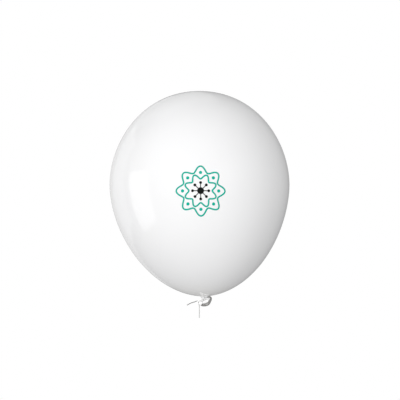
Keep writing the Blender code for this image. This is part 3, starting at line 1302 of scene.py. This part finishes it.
    def build(self) -> list[bpy.types.Object]:
        """Prints the two lines with their dots, and the burst.

        Returns:
            The three pieces.
        """
        outer = bmesh.new()
        for s in range(self.scallops):
            angle = math.tau * s / self.scallops
            across, up = self.dot_place * math.cos(angle), self.dot_place * math.sin(angle)
            self.add_dot(outer, across, up, self.dot_radius)
        self.cut_small(outer, self.outer[0])
        self.add_line(outer, *self.outer, 0.0)
        inner = bmesh.new()
        self.add_line(inner, *self.inner, math.pi)
        burst = bmesh.new()
        face = burst.faces.new([burst.verts.new((x, 0, z)) for x, z in self.burst_outline()])
        face.normal_update()
        self.cut_small(burst, self.burst_dot_place + self.burst_dot_radius)
        outer_line = Piece("printed_outer_line", Slot.TEAL_INK, ("print_outer_ring",))
        inner_line = Piece("printed_inner_line", Slot.TEAL_INK, ("print_inner_ring",))
        dotted_burst = Piece("printed_burst", Slot.BLACK_INK, ("print_burst",))
        return [
            self.lay_on(outer, outer_line, self.first_ink),
            self.lay_on(inner, inner_line, self.first_ink),
            self.lay_on(burst, dotted_burst, self.second_ink),
        ]


# The studio


def light_only(light: bpy.types.Object, lit: Iterable[bpy.types.Object]) -> None:
    """Keeps a light to some objects.

    Args:
        light: The light.
        lit: The objects that it falls on.
    """
    group = bpy.data.collections.new(f"{light.name}_lights")
    for obj in lit:
        group.objects.link(obj)
    light.light_linking.receiver_collection = group


@dataclass(frozen=True)
class SoftBox:
    """A soft studio light that faces the balloon, or lights only some of its pieces.

    A light may be seen mirrored in the pieces, and it may light them, or only one of the two.
    """

    name: str
    azimuth: float
    elevation: float
    watts: float
    distance: float = 2.0
    width: float = 1.1
    height: float = 1.1
    mirrored: bool = False
    scattered: bool = True
    only: tuple[str, ...] = ()

    def build(self, target: Vector) -> None:
        """Hangs the light, out of the camera's sight.

        Args:
            target: The point that it faces.
        """
        a, e = math.radians(self.azimuth), math.radians(self.elevation)
        way = Vector((math.sin(a) * math.cos(e), -math.cos(a) * math.cos(e), math.sin(e)))
        light = bpy.data.lights.new(self.name, "AREA")
        light.shape = "RECTANGLE"
        light.size = self.width
        light.size_y = self.height
        light.energy = self.watts
        obj = bpy.data.objects.new(self.name, light)
        bpy.context.scene.collection.objects.link(obj)
        obj.location = target + way * self.distance
        obj.rotation_mode = "QUATERNION"
        obj.rotation_quaternion = way.to_track_quat("Z", "Y")
        obj.visible_camera = False
        obj.visible_glossy = self.mirrored
        obj.visible_diffuse = self.scattered
        if self.only:
            light_only(obj, [bpy.data.objects[piece] for piece in self.only])


@dataclass
class Studio:
    """The pale floor, the soft lights, the white surround and the camera."""

    target: Vector = field(default_factory=lambda: Vector((0.8, 0, -23.5)) * MM)
    camera_distance: float = 2.9
    camera_elevation: float = -7.0
    view_width: float = 622.2 * MM
    sensor: float = 36.0
    clip: tuple[float, float] = (0.05, 100.0)
    floor_height: float = -390 * MM
    floor_size: float = 60.0
    floor_light: float = 2.0
    floor_light_angle: float = math.radians(60)
    ambient: float = 0.343
    lights: tuple[SoftBox, ...] = (
        SoftBox("front_light", 5, 20, 7.7),
        SoftBox("right_light", 34, 4, 9.2),
        SoftBox("right_upper_light", 30, 45, 3.5),
        SoftBox("low_strip_light", -37, -6.5, 6.7, 1.5, 0.5, 0.28),
        SoftBox("left_light", -90, 14, 3.7),
        SoftBox("window_light", -78, -9, 0.95, 0.75, 0.4, 0.6, mirrored=True, scattered=False),
        SoftBox("upper_left_light", -90, 68, 4.1),
        SoftBox("overhead_light", 0, 89, 0.7),
        SoftBox("upper_back_light", -155, 54, 2.8, 2.0, 1.6, 1.6, mirrored=True),
        SoftBox("left_rim_light", -125, 8, 3.6, height=2.0, mirrored=True),
        SoftBox("left_back_light", -155, 8, 2.4, height=2.0, mirrored=True),
        SoftBox("back_light", 178, 4, 9.0, 2.0, 0.9, 0.9),
        SoftBox("floor_bounce_light", -75, -68, 16.2, 0.4, 4.0, 4.0),
    )
    tie: Vector = field(default_factory=lambda: Vector((5, 2, -181)) * MM)
    tie_light: SoftBox = SoftBox(
        "tie_light", 0, -8, 6.5, 1.0, 0.4, 0.35, mirrored=True,
        only=("rubber_knot", "flared_mouth", "rolled_edge", "string_hitch"),
    )

    def build_camera(self) -> None:
        """Sets the camera at the floor, looking up at the balloon."""
        e = math.radians(self.camera_elevation)
        back = Vector((0, -math.cos(e), math.sin(e)))
        data = bpy.data.cameras.new("camera")
        data.sensor_width = self.sensor
        data.lens = self.sensor * self.camera_distance / self.view_width
        data.clip_start, data.clip_end = self.clip
        obj = bpy.data.objects.new("camera", data)
        bpy.context.scene.collection.objects.link(obj)
        obj.location = self.target + back * self.camera_distance
        obj.rotation_mode = "QUATERNION"
        obj.rotation_quaternion = back.to_track_quat("Z", "Y")
        bpy.context.scene.camera = obj

    def build_stage(self) -> None:
        """Lays the floor, hangs the lights and sets the surround."""
        bm = bmesh.new()
        bmesh.ops.create_grid(bm, x_segments=2, y_segments=2, size=self.floor_size / 2)
        bmesh.ops.translate(bm, vec=(0, 0, self.floor_height), verts=bm.verts)
        mesh = bpy.data.meshes.new("studio_floor")
        bm.to_mesh(mesh)
        bm.free()
        mesh.materials.append(StudioPaint().material())
        floor = bpy.data.objects.new("studio_floor", mesh)
        bpy.context.scene.collection.objects.link(floor)
        floor.visible_diffuse = floor.visible_glossy = False
        sky = bpy.data.lights.new("floor_light", "SUN")
        sky.energy, sky.angle = self.floor_light, self.floor_light_angle
        above = bpy.data.objects.new("floor_light", sky)
        bpy.context.scene.collection.objects.link(above)
        light_only(above, [floor])
        for light in self.lights:
            light.build(self.target)
        self.tie_light.build(self.tie)
        world = bpy.data.worlds.new("white_surround")
        world.use_nodes = True
        tree = world.node_tree
        background = tree.nodes["Background"]
        background.inputs["Color"].default_value = (1, 1, 1, 1)
        seen = tree.nodes.new("ShaderNodeLightPath")
        strength = tree.nodes.new("ShaderNodeMapRange")
        strength.inputs["To Min"].default_value = self.ambient
        strength.inputs["To Max"].default_value = 1.0
        tree.links.new(seen.outputs["Is Camera Ray"], strength.inputs["Value"])
        tree.links.new(strength.outputs["Result"], background.inputs["Strength"])
        bpy.context.scene.world = world
        bpy.context.scene.view_settings.view_transform = "Standard"


def main() -> None:
    """Builds the studio and the balloon."""
    logging.basicConfig(level=logging.INFO, format="%(name)s: %(message)s")
    studio = Studio()
    studio.build_camera()
    TiedString().build()
    envelope = Envelope()
    envelope.build()
    Neck().build()
    mouth = Mouth()
    RubberKnot().build(mouth.finish)
    mouth.build_funnel()
    mouth.build_lip()
    Rosette(envelope).build()
    studio.build_stage()


if __name__ == "__main__":
    main()
